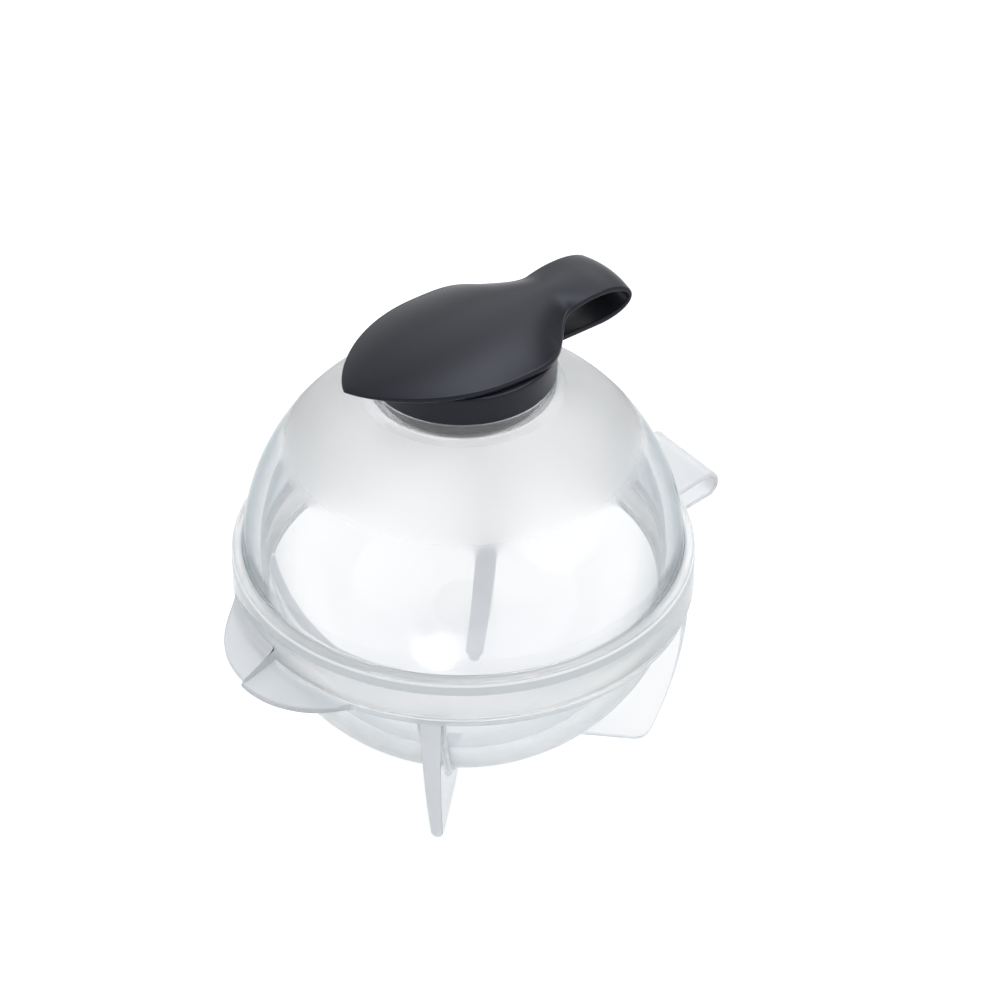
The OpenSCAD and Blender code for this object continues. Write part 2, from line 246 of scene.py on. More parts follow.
def clear_plastic(name, haze, rim, shade=0.95, bump=0.06, **values):
    """Clear moulded plastic: a refracting shader with a share of milky haze, fed by the moulded surface.
    Seen at a slant the colour goes over to the rim's blue-grey, partly for the longer way through the wall
    and partly as painted shade that darkens the edges. Shadow rays pass through each face dimmed to shade,
    as light does through a clear wall."""
    material = bpy.data.materials.new(name)
    tree = empty_tree(material)
    surface = wire(tree, "ShaderNodeGroup", (-600, 0), node_tree=moulded)
    for key, value in values.items():
        surface.inputs[key].default_value = value
    ripple = wire(tree, "ShaderNodeBump", (-350, -250), Strength=bump, Distance=0.0004)
    body = wire(tree, "ShaderNodeBsdfPrincipled", (-100, 0), IOR=1.5, **{"Transmission Weight": 1 - haze})
    path = wire(tree, "ShaderNodeLightPath", (-100, 350))
    dimmed = (shade, shade * 1.005, shade * 1.01, 1)
    through = wire(tree, "ShaderNodeBsdfTransparent", (-100, 150), Color=dimmed)
    slant = wire(tree, "ShaderNodeLayerWeight", (-800, 350), Blend=0.5)
    long_way_and_edge_shade = wire(tree, "ShaderNodeMapRange", (-600, 350), interpolation_type="SMOOTHSTEP",
                    **{"From Min": 0.35, "From Max": 0.85})
    # The rim colour mixed in at a slant is partly the longer way through the wall and partly painted shade
    # on the edges.
    deep = wire(tree, "ShaderNodeMix", (-300, 250), data_type="RGBA", B=(*rim, 1))
    either = wire(tree, "ShaderNodeMixShader", (250, 100))
    output = wire(tree, "ShaderNodeOutputMaterial", (450, 100))
    link = tree.links.new
    link(slant.outputs["Facing"], long_way_and_edge_shade.inputs["Value"])
    tinted = maths(tree, "MULTIPLY", (-450, 350), long_way_and_edge_shade.outputs[0], surface.outputs["Clear"])
    link(tinted, deep.inputs["Factor"])
    link(surface.outputs["Colour"], deep.inputs["A"])
    link(deep.outputs["Result"], body.inputs["Base Color"])
    link(surface.outputs["Roughness"], body.inputs["Roughness"])
    link(surface.outputs["Height"], ripple.inputs["Height"])
    link(ripple.outputs["Normal"], body.inputs["Normal"])
    link(path.outputs["Is Shadow Ray"], either.inputs[0])
    link(body.outputs[0], either.inputs[1])
    link(through.outputs[0], either.inputs[2])
    link(either.outputs[0], output.inputs["Surface"])
    return material


def finished(piece, plastics, picks):
    """Gives each face one of the plastics, by the number that picks(radii, heights, normals) has for it.
    Radii and heights of the faces' middles are in mm from the ball's middle."""
    faces = piece.data.polygons
    middles, normals = np.empty(3 * len(faces)), np.empty(3 * len(faces))
    faces.foreach_get("center", middles)
    faces.foreach_get("normal", normals)
    at = (middles.reshape(-1, 3) - BALL) / MM
    numbers = picks(np.hypot(at[:, 0], at[:, 1]), at[:, 2], normals.reshape(-1, 3))
    for plastic in plastics:
        piece.data.materials.append(plastic)
    faces.foreach_set("material_index", numbers.astype(int))


bowl_plastic = clear_plastic("clear bowl plastic", haze=0.06, rim=(0.48, 0.55, 0.59), bump=0.04)
rim_plastic = clear_plastic("satin rim plastic", haze=0.2, rim=(0.86, 0.89, 0.91), shade=0.96,
                            Tint=(0.985, 0.99, 0.993, 1), Polish=0.22)
# Painted shade: the lip plastic's grey tint darkens the lip, the seat and the rim's top; its satin haze is
# the plastic's own.
lip_plastic_painted_shade = clear_plastic("satin lip plastic, painted shade", haze=0.38, rim=(0.64, 0.68, 0.71),
                            Tint=(0.79, 0.812, 0.835, 1), Polish=0.2)
# Painted shade: the line plastic's dark tint paints a shade line on the ledge's edge and on the skirt's
# wall.
painted_shade_line_plastic = clear_plastic("painted shade line plastic", haze=0.8, rim=(0.62, 0.66, 0.69),
                             Tint=(0.655, 0.695, 0.725, 1), Polish=0.25)

front_turn = np.radians(np.concatenate([
    np.linspace(-180, LIP_UNDER, 150, endpoint=False), [LIP_UNDER - LIP_STEP],
    np.linspace(LIP_UNDER, LIP_SIDE, 48, endpoint=False), np.linspace(LIP_SIDE, 180, 118, endpoint=False)]))
reach = np.where(np.degrees(front_turn) >= LIP_UNDER, lip_reach(front_turn, LEDGE_R), LEDGE_R)[:, None]
bowl_inside = soft_outline(
    [arc(0, 0, BALL_R, -90, 0, 60),
     [(BALL_R, 0), (RIM_R - RIM_LEAD_IN, 0)],
     [(RIM_R - RIM_LEAD_IN, 0), (RIM_R, -RIM_LEAD_IN)],
     [(RIM_R, -RIM_LEAD_IN), (RIM_R, LEDGE_TOP)],
     [(RIM_R, LEDGE_TOP), (LIP_FROM_R, LEDGE_TOP)]],
    [0.15, 0.12, 0.12, 0.25])
bowl_outside = soft_outline(
    [[(LIP_FROM_R, LEDGE_BOT), (RIM_R + 0.02, LEDGE_BOT)], arc(0, 0, BOWL_R, BOWL_FROM, -90, 70)], [0.3])
f = np.linspace(0, 1, 16)[None, 1:]
round_edge = np.radians(np.linspace(90, -90, 11))[None, 1:-1]
edge_from = reach - LIP_EDGE
top_r = LIP_FROM_R + f * (edge_from - LIP_FROM_R)
top_z = LEDGE_TOP - LIP_SLOPE * np.maximum(top_r - LEDGE_R, 0)
edge_r = edge_from + LIP_EDGE * np.cos(round_edge)
edge_mid = (LEDGE_TOP + LEDGE_BOT) / 2 - LIP_SLOPE * np.maximum(edge_from - LEDGE_R, 0)
edge_z = edge_mid + (LEDGE_TOP - LEDGE_BOT) / 2 * np.sin(round_edge)
low_r, low_z = top_r[:, ::-1], top_z[:, ::-1] + LEDGE_BOT - LEDGE_TOP
lower_lip = np.stack([np.concatenate([top_r, edge_r, low_r], 1),
                      np.concatenate([top_z, edge_z, low_z], 1)], -1)
bowl = skin("clear_bowl", turned(lipped(bowl_inside, lower_lip, bowl_outside), front_turn), crease=40)


def bowl_finish(r, z, facing):
    """Satin lip plastic with painted shade (2) on the lip and the rim's top, the painted shade line (3) on
    the ledge's edge, satin (1) on the rest of rim and ledge, and clear (0) on the wall."""
    lip_or_top = (r > LEDGE_R + 0.1) | ((r > BALL_R + 0.1) & (z > -0.02))
    # painted shade line on the ledge's edge
    ledge_edge = (r > LIP_FROM_R + 0.01) & (z < LEDGE_TOP - 0.01) & (facing[:, 2] > -0.9)
    rim_or_ledge = (r > BALL_R + 0.1) & (z > LEDGE_BOT + 0.1)
    return np.select([lip_or_top, ledge_edge, rim_or_ledge], [2, 3, 1], 0)


finished(bowl, (bowl_plastic, rim_plastic, lip_plastic_painted_shade, painted_shade_line_plastic), bowl_finish)
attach(bowl, "lower_half")
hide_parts("bowl_shell", "rim_ledge", "lift_tab_lower")

# Fin feet: four raked blades under the ledge, thinned towards the table. They are moulded on the bowl, in
# the same clear plastic, with a small fillet along the root; their narrow edges and roots are satin.
FLOOR = -BALL[2] / MM
FIN_SIT, FIN_FILLET = 0.03, 0.6
FIN_TOP_R, FIN_LEAN, FIN_RAKE, FIN_ROUND = 35.5, 6.2, 1.8, 3.0
FIN_FLAT_R, FIN_IN_R, FIN_RUN_OUT = 14.5, 12.0, 1.15
FIN_FOOT_T, FIN_ROOT_T = 1.7, 3.4
FIN_TOP = LEDGE_BOT - FIN_SIT
FIN_DROP = FIN_TOP - FLOOR
FIN_TAPER = (FIN_ROOT_T - FIN_FOOT_T) / FIN_DROP / 2


def moulded_on():
    """Node group for the bowl's outer face: the mask is 0 where a fin grows out of it, as bowl and fins are
    one moulding, and 1 elsewhere. With |x| and |y| from the ball's middle, a fin's mid plane is |x| = |y|;
    its root lies within W + Z z of that plane, under the ledge and outside the inner radius."""
    group = bpy.data.node_groups.new("moulded on", "ShaderNodeTree")
    for name in ("Root Half Width", "Root Taper", "Top", "Inner Radius", "Wall Radius"):
        group.interface.new_socket(name, in_out="INPUT", socket_type="NodeSocketFloat")
    group.interface.new_socket("Plain Wall", in_out="OUTPUT", socket_type="NodeSocketFloat")
    given = wire(group, "NodeGroupInput", (-1400, -200)).outputs
    leave = wire(group, "NodeGroupOutput", (1000, 0)).inputs
    centred = from_ball(group)[1]
    far = wire(group, "ShaderNodeVectorMath", (-800, 400), operation="LENGTH")
    parts = wire(group, "ShaderNodeSeparateXYZ", (-800, 200))
    group.links.new(centred, far.inputs[0])
    group.links.new(centred, parts.inputs[0])
    x, y, z = (parts.outputs[k] for k in "XYZ")
    wide, deep = maths(group, "ABSOLUTE", (-600, 300), x), maths(group, "ABSOLUTE", (-600, 150), y)
    aside = maths(group, "ABSOLUTE", (-200, 300), maths(group, "SUBTRACT", (-400, 300), wide, deep))
    aside = maths(group, "MULTIPLY", (0, 300), aside, float(np.sqrt(0.5)))
    half = maths(group, "MULTIPLY_ADD", (-400, 0), z, given["Root Taper"], given["Root Half Width"])
    y_square = maths(group, "MULTIPLY", (-400, -200), y, y)
    plan = maths(group, "SQRT", (0, -200), maths(group, "MULTIPLY_ADD", (-200, -200), x, x, y_square))
    in_root = maths(group, "LESS_THAN", (200, 300), aside, half)
    under = maths(group, "LESS_THAN", (200, 150), z, given["Top"])
    past_inner = maths(group, "GREATER_THAN", (200, 0), plan, given["Inner Radius"])
    outer_face = maths(group, "GREATER_THAN", (200, -150), far.outputs["Value"], given["Wall Radius"])
    root = maths(group, "MULTIPLY", (400, 200), in_root, under)
    outside = maths(group, "MULTIPLY", (400, -100), past_inner, outer_face)
    grown = maths(group, "MULTIPLY", (600, 100), root, outside)
    group.links.new(maths(group, "SUBTRACT", (800, 100), 1.0, grown), leave["Plain Wall"])
    return group


def fin_blade(turn):
    """Blade in the plane at a turn, as sections that run from the bowl to the outline: the raked edge
    R - L q^1.8, a round corner, the flat foot and a run-out. A section starts in a fillet
    h + F (1 - a/2F)^2 and ends in half an ellipse; its thickness 2h falls evenly from ledge to table."""
    lean = np.arctan(FIN_RAKE * FIN_LEAN / FIN_DROP)
    corner_l = FIN_ROUND / np.tan(np.pi / 4 + lean / 2)
    q = (1 - corner_l * np.cos(lean) / FIN_DROP) * np.linspace(0, 1, 40)
    raked = np.stack([FIN_TOP_R - FIN_LEAN * q**FIN_RAKE, FIN_TOP - q * FIN_DROP], -1)
    corner = arc(FIN_TOP_R - FIN_LEAN - corner_l, FLOOR + FIN_ROUND, FIN_ROUND, -np.degrees(lean), -90, 13)
    foot = np.linspace(corner[-1], (FIN_FLAT_R, FLOOR), 24)
    run_out = np.linspace((FIN_FLAT_R, FLOOR), (FIN_IN_R, FLOOR + FIN_RUN_OUT), 8)
    outline = np.concatenate([raked, corner[1:], foot[1:], run_out[1:]])
    touch = BOWL_R + FIN_SIT
    root_top, root_end = np.degrees(np.arcsin(FIN_TOP / touch)), -np.degrees(np.arccos(FIN_IN_R / touch))
    root = arc(0, 0, touch, root_top, root_end, len(outline))
    reach = np.linalg.norm(outline - root, axis=1)[:, None]
    nose = np.minimum(0.8 * (FIN_FOOT_T / 2 + FIN_TAPER * (outline[:, 1:] - FLOOR)), reach / 2)
    points = 14
    side = (reach - nose) * np.linspace(0, 1, points)[None] ** 1.6
    b = np.radians(np.linspace(90, -90, 11))[None, 1:-1]
    along = np.concatenate([side, reach - nose + nose * np.cos(b), side[:, ::-1]], 1)
    way = (along / reach)[..., None]
    spot = root[:, None] * (1 - way) + outline[:, None] * way
    r, z = spot[..., 0], spot[..., 1]
    half = FIN_FOOT_T / 2 + FIN_TAPER * (z - FLOOR)
    half = half + FIN_FILLET * np.maximum(0, 1 - along / (2 * FIN_FILLET)) ** 2
    t = half * np.concatenate([np.ones(points), np.sin(b[0]), -np.ones(points)])
    x, y = r * np.sin(turn) + t * np.cos(turn), -r * np.cos(turn) + t * np.sin(turn)
    return BALL + MM * np.stack([x, y, z], -1)


tree = bowl_plastic.node_tree
mask = wire(tree, "ShaderNodeGroup", (-350, -450), node_tree=moulded_on())
for key, value in (
    ("Root Half Width", MM * (FIN_FOOT_T / 2 - FIN_TAPER * FLOOR + FIN_FILLET)),
    ("Root Taper", FIN_TAPER),
    ("Top", MM * (LEDGE_BOT + FIN_SIT / 2)),
    ("Inner Radius", MM * FIN_IN_R),
    ("Wall Radius", MM * (BALL_R + BOWL_R) / 2),
):
    mask.inputs[key].default_value = value
shader = next(node for node in tree.nodes if node.type == "BSDF_PRINCIPLED")
tree.links.new(mask.outputs["Plain Wall"], shader.inputs["Alpha"])

fin_plastic = clear_plastic("clear fin plastic", haze=0.06, rim=(0.7, 0.76, 0.79), Polish=0.06)
fin_edge_plastic = clear_plastic("satin fin edge plastic", haze=0.7, rim=(0.8, 0.84, 0.86),
                                 Tint=(0.85, 0.875, 0.91, 1), Polish=0.3)
for spot, degrees in (("front_right", 45), ("front_left", -45), ("back_right", 135), ("back_left", -135)):
    turn = np.radians(degrees)
    grid = fin_blade(turn)
    fin = skin("milky_fin_" + spot, grid, wrap_u=False, wrap_v=True, ends=(0, len(grid) - 1), crease=50)
    broad = np.array([np.cos(turn), np.sin(turn), 0])
    finished(fin, (fin_plastic, fin_edge_plastic), lambda r, z, facing: np.abs(facing @ broad) < 0.8)
    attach(fin, "lower_half")
    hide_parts("foot_fin_" + spot)

# Hinge strap: a thin flat strap of milky plastic, moulded on. It is folded back on itself behind the rim,
# from the skirt down to the ledge.
STRAP_W, STRAP_T, FOLD_R, FOLD_Y, FOLD_Z = 14.5, 0.9, 1.95, 43.3, -3.8
STRAP_UP, STRAP_DOWN, SKIRT_END_Y, LEDGE_END_Y = 11, 8, 36.0, 35.6
strap_plastic = clear_plastic("milky strap plastic", haze=0.5, rim=(0.82, 0.84, 0.87),
                              Tint=(0.9, 0.91, 0.93, 1), Polish=0.2)


def strap_run(fold_end, slope, end_y):
    """Straight run of the strap in the (y, z) plane, from the rim at y = end_y to the fold's end: fold end
    minus a share, from 1 to 0, of the run's length along (cos slope, sin slope)."""
    slope = np.radians(slope)
    share = np.linspace(1, 0, 22)[:-1, None]
    length = (fold_end[0] - end_y) / np.cos(slope)
    return fold_end - share * length * np.array([np.cos(slope), np.sin(slope)])


fold = arc(FOLD_Y, FOLD_Z, FOLD_R, 90 + STRAP_UP, STRAP_DOWN - 90, 48)
line = np.concatenate([
    strap_run(fold[0], STRAP_UP, SKIRT_END_Y), fold, strap_run(fold[-1], STRAP_DOWN, LEDGE_END_Y)[::-1]])
ahead = np.gradient(line, axis=0)
normal = np.stack([-ahead[:, 1], ahead[:, 0]], -1) / np.linalg.norm(ahead, axis=1)[:, None]
tip = np.radians(np.linspace(-90, 90, 9))
side = STRAP_W / 2 - STRAP_T / 2 + STRAP_T / 2 * np.cos(tip)
across = np.broadcast_to(np.concatenate([side, -side]), (len(line), 2 * len(tip)))
offset = STRAP_T / 2 * np.concatenate([np.sin(tip), np.sin(tip[::-1])])
strap_y, strap_z = (line[:, None, k] + normal[:, None, k] * offset for k in (0, 1))
strap_grid = BALL + MM * np.stack([across, strap_y, strap_z], -1)
strap = skin("milky_hinge_strap", strap_grid, wrap_u=False, wrap_v=True, ends=(0, len(line) - 1), crease=50)
strap.data.materials.append(strap_plastic)
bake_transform(strap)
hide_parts("hinge_strap")

# Upper half: a clear dome with a short filler neck, a skirt that hangs over the bowl's rim, and the left
# half of the lift lip flaring out of the skirt. One moulding; above the fill line the wall is misted, and
# the skirt's wall is milky, with a painted highlight on its upper edge and a painted shade line over the
# wall's upper end.
DOME_R, SKIRT_R, SKIRT_IN_R, SKIRT_TOP, SKIRT_BOT, SEAT = 34.55, 36.2, 34.35, 1.2, -6.2, 0.1
BORE_R, NECK_R, NECK_TOP = 12.5, 14.2, 33.447
MIST_LOW, MIST_TOP, MIST_FADE = 18.8, 30.4, 3.2
SHADE_LINE_BOT, LIP_WALL_TOP, LIP_WALL_BOT = -0.9, -2.2, -5.7
FLARE_L, FLARE_H, FLARE_DROP, FLARE_LIFT, FLARE_FALL = 6.8, 3.8, 0.5, 0.4, 2.1
# The dome's rim colour is near black: at a slant it is mostly painted shade that darkens the dome's edges.
dome_plastic = clear_plastic(
    "clear dome plastic", haze=0.06, rim=(0.08, 0.16, 0.21), bump=0.04, Mist=0.34,
    **{"Mist Height": MIST_LOW * MM, "Mist Top": MIST_TOP * MM, "Mist Fade": MIST_FADE * MM})
skirt_plastic = clear_plastic("milky skirt plastic", haze=0.2, rim=(0.66, 0.72, 0.76), shade=0.96,
                              Tint=(0.985, 0.99, 0.995, 1), Polish=0.06)
top_plastic = clear_plastic("satin skirt top plastic", haze=0.4, rim=(0.64, 0.7, 0.75),
                            Tint=(0.92, 0.94, 0.955, 1), Polish=0.2)
# Painted highlight: the edge plastic's near-white haze paints a light line on the skirt's upper edge.
painted_highlight_edge_plastic = clear_plastic("painted highlight edge plastic", haze=0.85, rim=(0.86, 0.915, 0.95), shade=0.96,
                             Tint=(0.96, 0.985, 1.0, 1), Polish=0.08)


def flare_top(r):
    """Hollow upper face of the lip: z = rim - 0.5 + 3.8 (1 - sqrt(1 - (1 - q)^2)), a quarter of an ellipse
    that leaves the skirt upright at q = 0 and runs level past the lip's edge."""
    q = np.clip((r - SKIRT_R) / FLARE_L, 0, 1)
    return SKIRT_BOT - FLARE_DROP + FLARE_H * (1 - np.sqrt(1 - (1 - q) ** 2))


def flare_under(r):
    """Plain sloping underside of the lip, z = rim + 0.4 - 2.1 q, from just over the skirt's lower edge."""
    return SKIRT_BOT + FLARE_LIFT - FLARE_FALL * (r - SKIRT_R) / FLARE_L


seat_turn, bore_turn = np.degrees(np.arcsin(SEAT / BALL_R)), np.degrees(np.arccos(BORE_R / BALL_R))
neck_foot, skirt_join = np.degrees(np.arccos(NECK_R / DOME_R)), np.degrees(np.arcsin(SKIRT_TOP / DOME_R))
inside_to_wall = soft_outline(
    [arc(0, 0, BALL_R, seat_turn, bore_turn, 64),
     [(BORE_R, np.sqrt(BALL_R**2 - BORE_R**2)), (BORE_R, NECK_TOP)],
     [(BORE_R, NECK_TOP), (NECK_R, NECK_TOP)],
     [(NECK_R, NECK_TOP), (NECK_R, np.sqrt(DOME_R**2 - NECK_R**2))],
     arc(0, 0, DOME_R, neck_foot, skirt_join, 64),
     [(np.sqrt(DOME_R**2 - SKIRT_TOP**2), SKIRT_TOP), (SKIRT_R, SKIRT_TOP)],
     [(SKIRT_R, SKIRT_TOP), (SKIRT_R, SHADE_LINE_BOT), (SKIRT_R, LIP_WALL_TOP)]],
    [0.25, 0.4, 0.45, 1.2, 0.75, 0.9])
wall_to_seat = soft_outline(
    [[(SKIRT_R, LIP_WALL_BOT), (SKIRT_R, SKIRT_BOT)],
     [(SKIRT_R, SKIRT_BOT), (SKIRT_IN_R, SKIRT_BOT)],
     [(SKIRT_IN_R, SKIRT_BOT), (SKIRT_IN_R, SEAT)],
     [(SKIRT_IN_R, SEAT), (BALL_R, SEAT)]],
    [0.4, 0.4, 0.12])[:-1]
back_turn = np.radians(np.concatenate([
    np.linspace(-180, -LIP_SIDE, 118, endpoint=False), np.linspace(-LIP_SIDE, LIP_END, 48),
    [LIP_END + LIP_STEP], np.linspace(LIP_END, 180, 150, endpoint=False)[1:]]))
reach = np.where(np.degrees(back_turn) <= LIP_END, lip_reach(back_turn, SKIRT_R), SKIRT_R)[:, None]
flared = reach > SKIRT_R + 0.02
edge = np.minimum(LIP_EDGE, np.maximum(reach - SKIRT_R, 0) / 2)
f = np.linspace(0, 1, 22)[None]
edge_from = reach - edge
top_r = SKIRT_R + f**2.2 * (edge_from - SKIRT_R)
low_r = SKIRT_R + f[:, ::-1] * (edge_from - SKIRT_R)
edge_mid = (flare_top(edge_from) + flare_under(edge_from)) / 2
edge_half = (flare_top(edge_from) - flare_under(edge_from)) / 2
lip_r = np.concatenate([top_r, edge_from + edge * np.cos(round_edge), low_r], 1)
lip_z = np.concatenate([flare_top(top_r), edge_mid + edge_half * np.sin(round_edge), flare_under(low_r)], 1)
wall_z = np.broadcast_to(np.linspace(LIP_WALL_TOP - 0.2, LIP_WALL_BOT + 0.05, lip_r.shape[1]), lip_r.shape)
upper_lip = np.stack([np.where(flared, lip_r, SKIRT_R), np.where(flared, lip_z, wall_z)], -1)
dome = skin("clear_dome", turned(lipped(inside_to_wall, upper_lip, wall_to_seat), back_turn),
            wrap_v=True, crease=40)


def dome_finish(r, z, facing):
    """Satin lip plastic with painted shade (2) on the lip and the seat, satin (1) inside the skirt, a
    painted shade line (5) on the upper end of the skirt's wall and milky (3) below it, a painted highlight
    (4) on the upper edge, satin (6) on the skirt's top, and clear (0) on dome and neck."""
    upward = facing[:, 2]
    lip_or_seat = (r > SKIRT_R + 0.1) | ((r < SKIRT_IN_R - 0.05) & (z < SEAT + 0.02))
    inside = (r < SKIRT_R - 0.1) & (z < SEAT + 0.02)
    wall = (r > SKIRT_R - 0.05) & (upward < 0.15)
    # painted shade line on the upper end of the skirt's wall
    line = wall & (z > SHADE_LINE_BOT - 0.05)
    # painted highlight on the skirt's upper edge
    upper_edge = (r > SKIRT_R - 0.9) & (z > SEAT) & (upward < 0.75)
    top = (r > DOME_R + 0.05) & (z > SEAT)
    return np.select([lip_or_seat, inside, line, wall, upper_edge, top], [2, 1, 5, 3, 4, 6], 0)


finished(
    dome,
    (dome_plastic, rim_plastic, lip_plastic_painted_shade, skirt_plastic, painted_highlight_edge_plastic, painted_shade_line_plastic, top_plastic),
    dome_finish)
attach(dome, "upper_half")
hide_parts("dome_shell", "filler_neck", "rim_skirt", "lift_tab_upper")

# Stopper: black silicone in one moulding. A ribbed plug in the neck, a head that rests on it, a crowned
# leaf as grip, and a strap that curls out of the leaf and back to the head as a pull loop.
PLUG_R, RIB_H, HEAD_R = 12.25, 0.15, 14.5
HEAD_Z, LEAF_Z = NECK_TOP + 0.05, NECK_TOP + 4.9
LEAF_TIP, LEAF_W, LEAF_T, LEAF_TIP_T, LEAF_CROWN, LEAF_WIDE_Y = 22.1, 26.9, 1.0, 0.4, 3.25, 0.3
LOOP_W, LOOP_T, LOOP_HALF_H, LOOP_END_L, LOOP_CROWN, LOOP_SINK = 11.4, 0.9, 2.625, 6.05, 0.6, 1.8
RISE_Y, RISE_L, SLIM_Y = HEAD_R - 4.0, 11.5, HEAD_R + 2.1
LOOP_Y, LOOP_TOP = RISE_Y + RISE_L, LEAF_Z + 3.05
LOOP_BOT = LOOP_TOP - 2 * LOOP_HALF_H


def black_silicone():
    """Black silicone: near-black with a soft, uneven dusty bloom, a matt face and a fine moulded grain."""
    material = bpy.data.materials.new("black silicone")
    tree = empty_tree(material)
    place = wire(tree, "ShaderNodeTexCoord", (-1000, 0))
    bloom = wire(tree, "ShaderNodeTexNoise", (-800, 150), Scale=70.0, Detail=4.0, Roughness=0.55)
    grain = wire(tree, "ShaderNodeTexNoise", (-800, -150), Scale=2600.0, Detail=2.0, Roughness=0.5)
    colour = wire(tree, "ShaderNodeMix", (-500, 200), data_type="RGBA",
                  A=(0.0048, 0.0052, 0.009, 1), B=(0.0092, 0.0097, 0.015, 1))
    matt = wire(tree, "ShaderNodeMapRange", (-500, 0), **{"To Min": 0.3, "To Max": 0.4})
    bump = wire(tree, "ShaderNodeBump", (-300, -200), Strength=0.12, Distance=0.00006)
    body = wire(tree, "ShaderNodeBsdfPrincipled", (0, 0), IOR=1.43, **{
        "Specular IOR Level": 0.42, "Specular Tint": (0.82, 0.87, 1.0, 1),
        "Sheen Weight": 0.1, "Sheen Roughness": 0.3, "Sheen Tint": (0.72, 0.8, 1.0, 1)})
    output = wire(tree, "ShaderNodeOutputMaterial", (300, 0))
    link = tree.links.new
    link(place.outputs["Object"], bloom.inputs["Vector"])
    link(place.outputs["Object"], grain.inputs["Vector"])
    link(bloom.outputs["Fac"], colour.inputs["Factor"])
    link(bloom.outputs["Fac"], matt.inputs["Value"])
    link(grain.outputs["Fac"], bump.inputs["Height"])
    link(colour.outputs["Result"], body.inputs["Base Color"])
    link(matt.outputs[0], body.inputs["Roughness"])
    link(bump.outputs["Normal"], body.inputs["Normal"])
    link(body.outputs[0], output.inputs["Surface"])
    return material


def rib(share):
    """Sealing rib round the plug, at a share of the neck's length under its top: an arc of radius 3 h,
    centred 2 h inside the wall, so that it stands out by h."""
    neck_l = NECK_TOP - np.sqrt(BALL_R**2 - BORE_R**2)
    half_turn = np.degrees(np.arccos(2 / 3))
    return arc(PLUG_R - 2 * RIB_H, NECK_TOP - share * neck_l, 3 * RIB_H, -half_turn, half_turn, 9)


def leaf_half(y):
    """Half width along the leaf: W (1 - x^2)^0.78 towards the pointed tip; towards the loop it eases from W
    to the strap's half width by (1 + cos(pi x^2)) / 2."""
    front = np.clip((LEAF_WIDE_Y - y) / (LEAF_WIDE_Y + LEAF_TIP), 0, 1)
    back = np.clip((y - LEAF_WIDE_Y) / (SLIM_Y - LEAF_WIDE_Y), 0, 1)
    pointed = LEAF_W / 2 * (1 - front**2) ** 0.78
    eased = LOOP_W / 2 + (LEAF_W - LOOP_W) / 4 * (1 + np.cos(np.pi * back**2))
    return np.where(y < LEAF_WIDE_Y, pointed, eased)


def grip_sheet():
    """One sheet carried along a line: the leaf lies level and thins to its tip, the strap rises out of it
    by m = 1 - (1 - q^1.5)^2.5, turns over in half an ellipse and runs back into the head. Across it, the
    faces are crowned by c (1 - x^2) and the edges are half round."""
    front = LEAF_WIDE_Y - (LEAF_WIDE_Y + LEAF_TIP) * np.cos(np.radians(np.linspace(2.2, 90, 60)))
    y = np.concatenate([front, np.linspace(LEAF_WIDE_Y, LOOP_Y, 110)[1:]])
    tip = np.clip((LEAF_WIDE_Y - y) / (LEAF_WIDE_Y + LEAF_TIP), 0, 1)
    m = 1 - (1 - np.clip((y - RISE_Y) / RISE_L, 0, 1) ** 1.5) ** 2.5
    thick = LEAF_T + (LOOP_T - LEAF_T) * m - (LEAF_T - LEAF_TIP_T) * tip**3
    level = LEAF_Z + LEAF_T - thick / 2
    to_tip = np.maximum(RISE_Y - y, 0) / (RISE_Y + LEAF_TIP)
    crown = LEAF_CROWN * (1 - to_tip**2) + (LOOP_CROWN - LEAF_CROWN) * m
    rise = np.stack([y, level + (LOOP_TOP - level) * m, 0 * y, 0 * y + 1, leaf_half(y), thick, crown,
                     LOOP_CROWN * m])
    a = np.radians(np.linspace(90, -90, 73))[1:]
    face = np.stack([np.cos(a) / LOOP_END_L, np.sin(a) / LOOP_HALF_H])
    face /= np.linalg.norm(face, axis=0)
    same = np.ones_like(a)
    over = np.stack([LOOP_Y + LOOP_END_L * np.cos(a), LOOP_BOT + LOOP_HALF_H * (1 + np.sin(a)), *face,
                     LOOP_W / 2 * same, LOOP_T * same, LOOP_CROWN * same, LOOP_CROWN * same])
    q = np.linspace(0, 1, 26)[1:]
    ease = LOOP_CROWN * (1 - q * q * (3 - 2 * q))
    home = np.stack([LOOP_Y + q * (HEAD_R - LOOP_SINK - LOOP_Y), 0 * q + LOOP_BOT, 0 * q, 0 * q - 1,
                     0 * q + LOOP_W / 2, 0 * q + LOOP_T, ease, ease])
    y, z, ny, nz, w, t, top, low = (v[:, None] for v in np.concatenate([rise, over, home], 1))
    e = np.minimum(t / 2, w)
    s = np.sin(np.radians(np.linspace(-90, 90, 33)))[None]
    b = np.radians(np.linspace(90, -90, 11))[None, 1:-1]
    side = w - e + e * np.cos(b)
    x = np.concatenate([s * (w - e), side, -s * (w - e), -side], 1)
    h = np.concatenate([t / 2 + top * (1 - s**2), t / 2 * np.sin(b), low * (1 - s**2) - t / 2,
                        t / 2 * np.sin(-b)], 1)
    return BALL + MM * np.stack([x, y + h * ny, z + h * nz], -1)


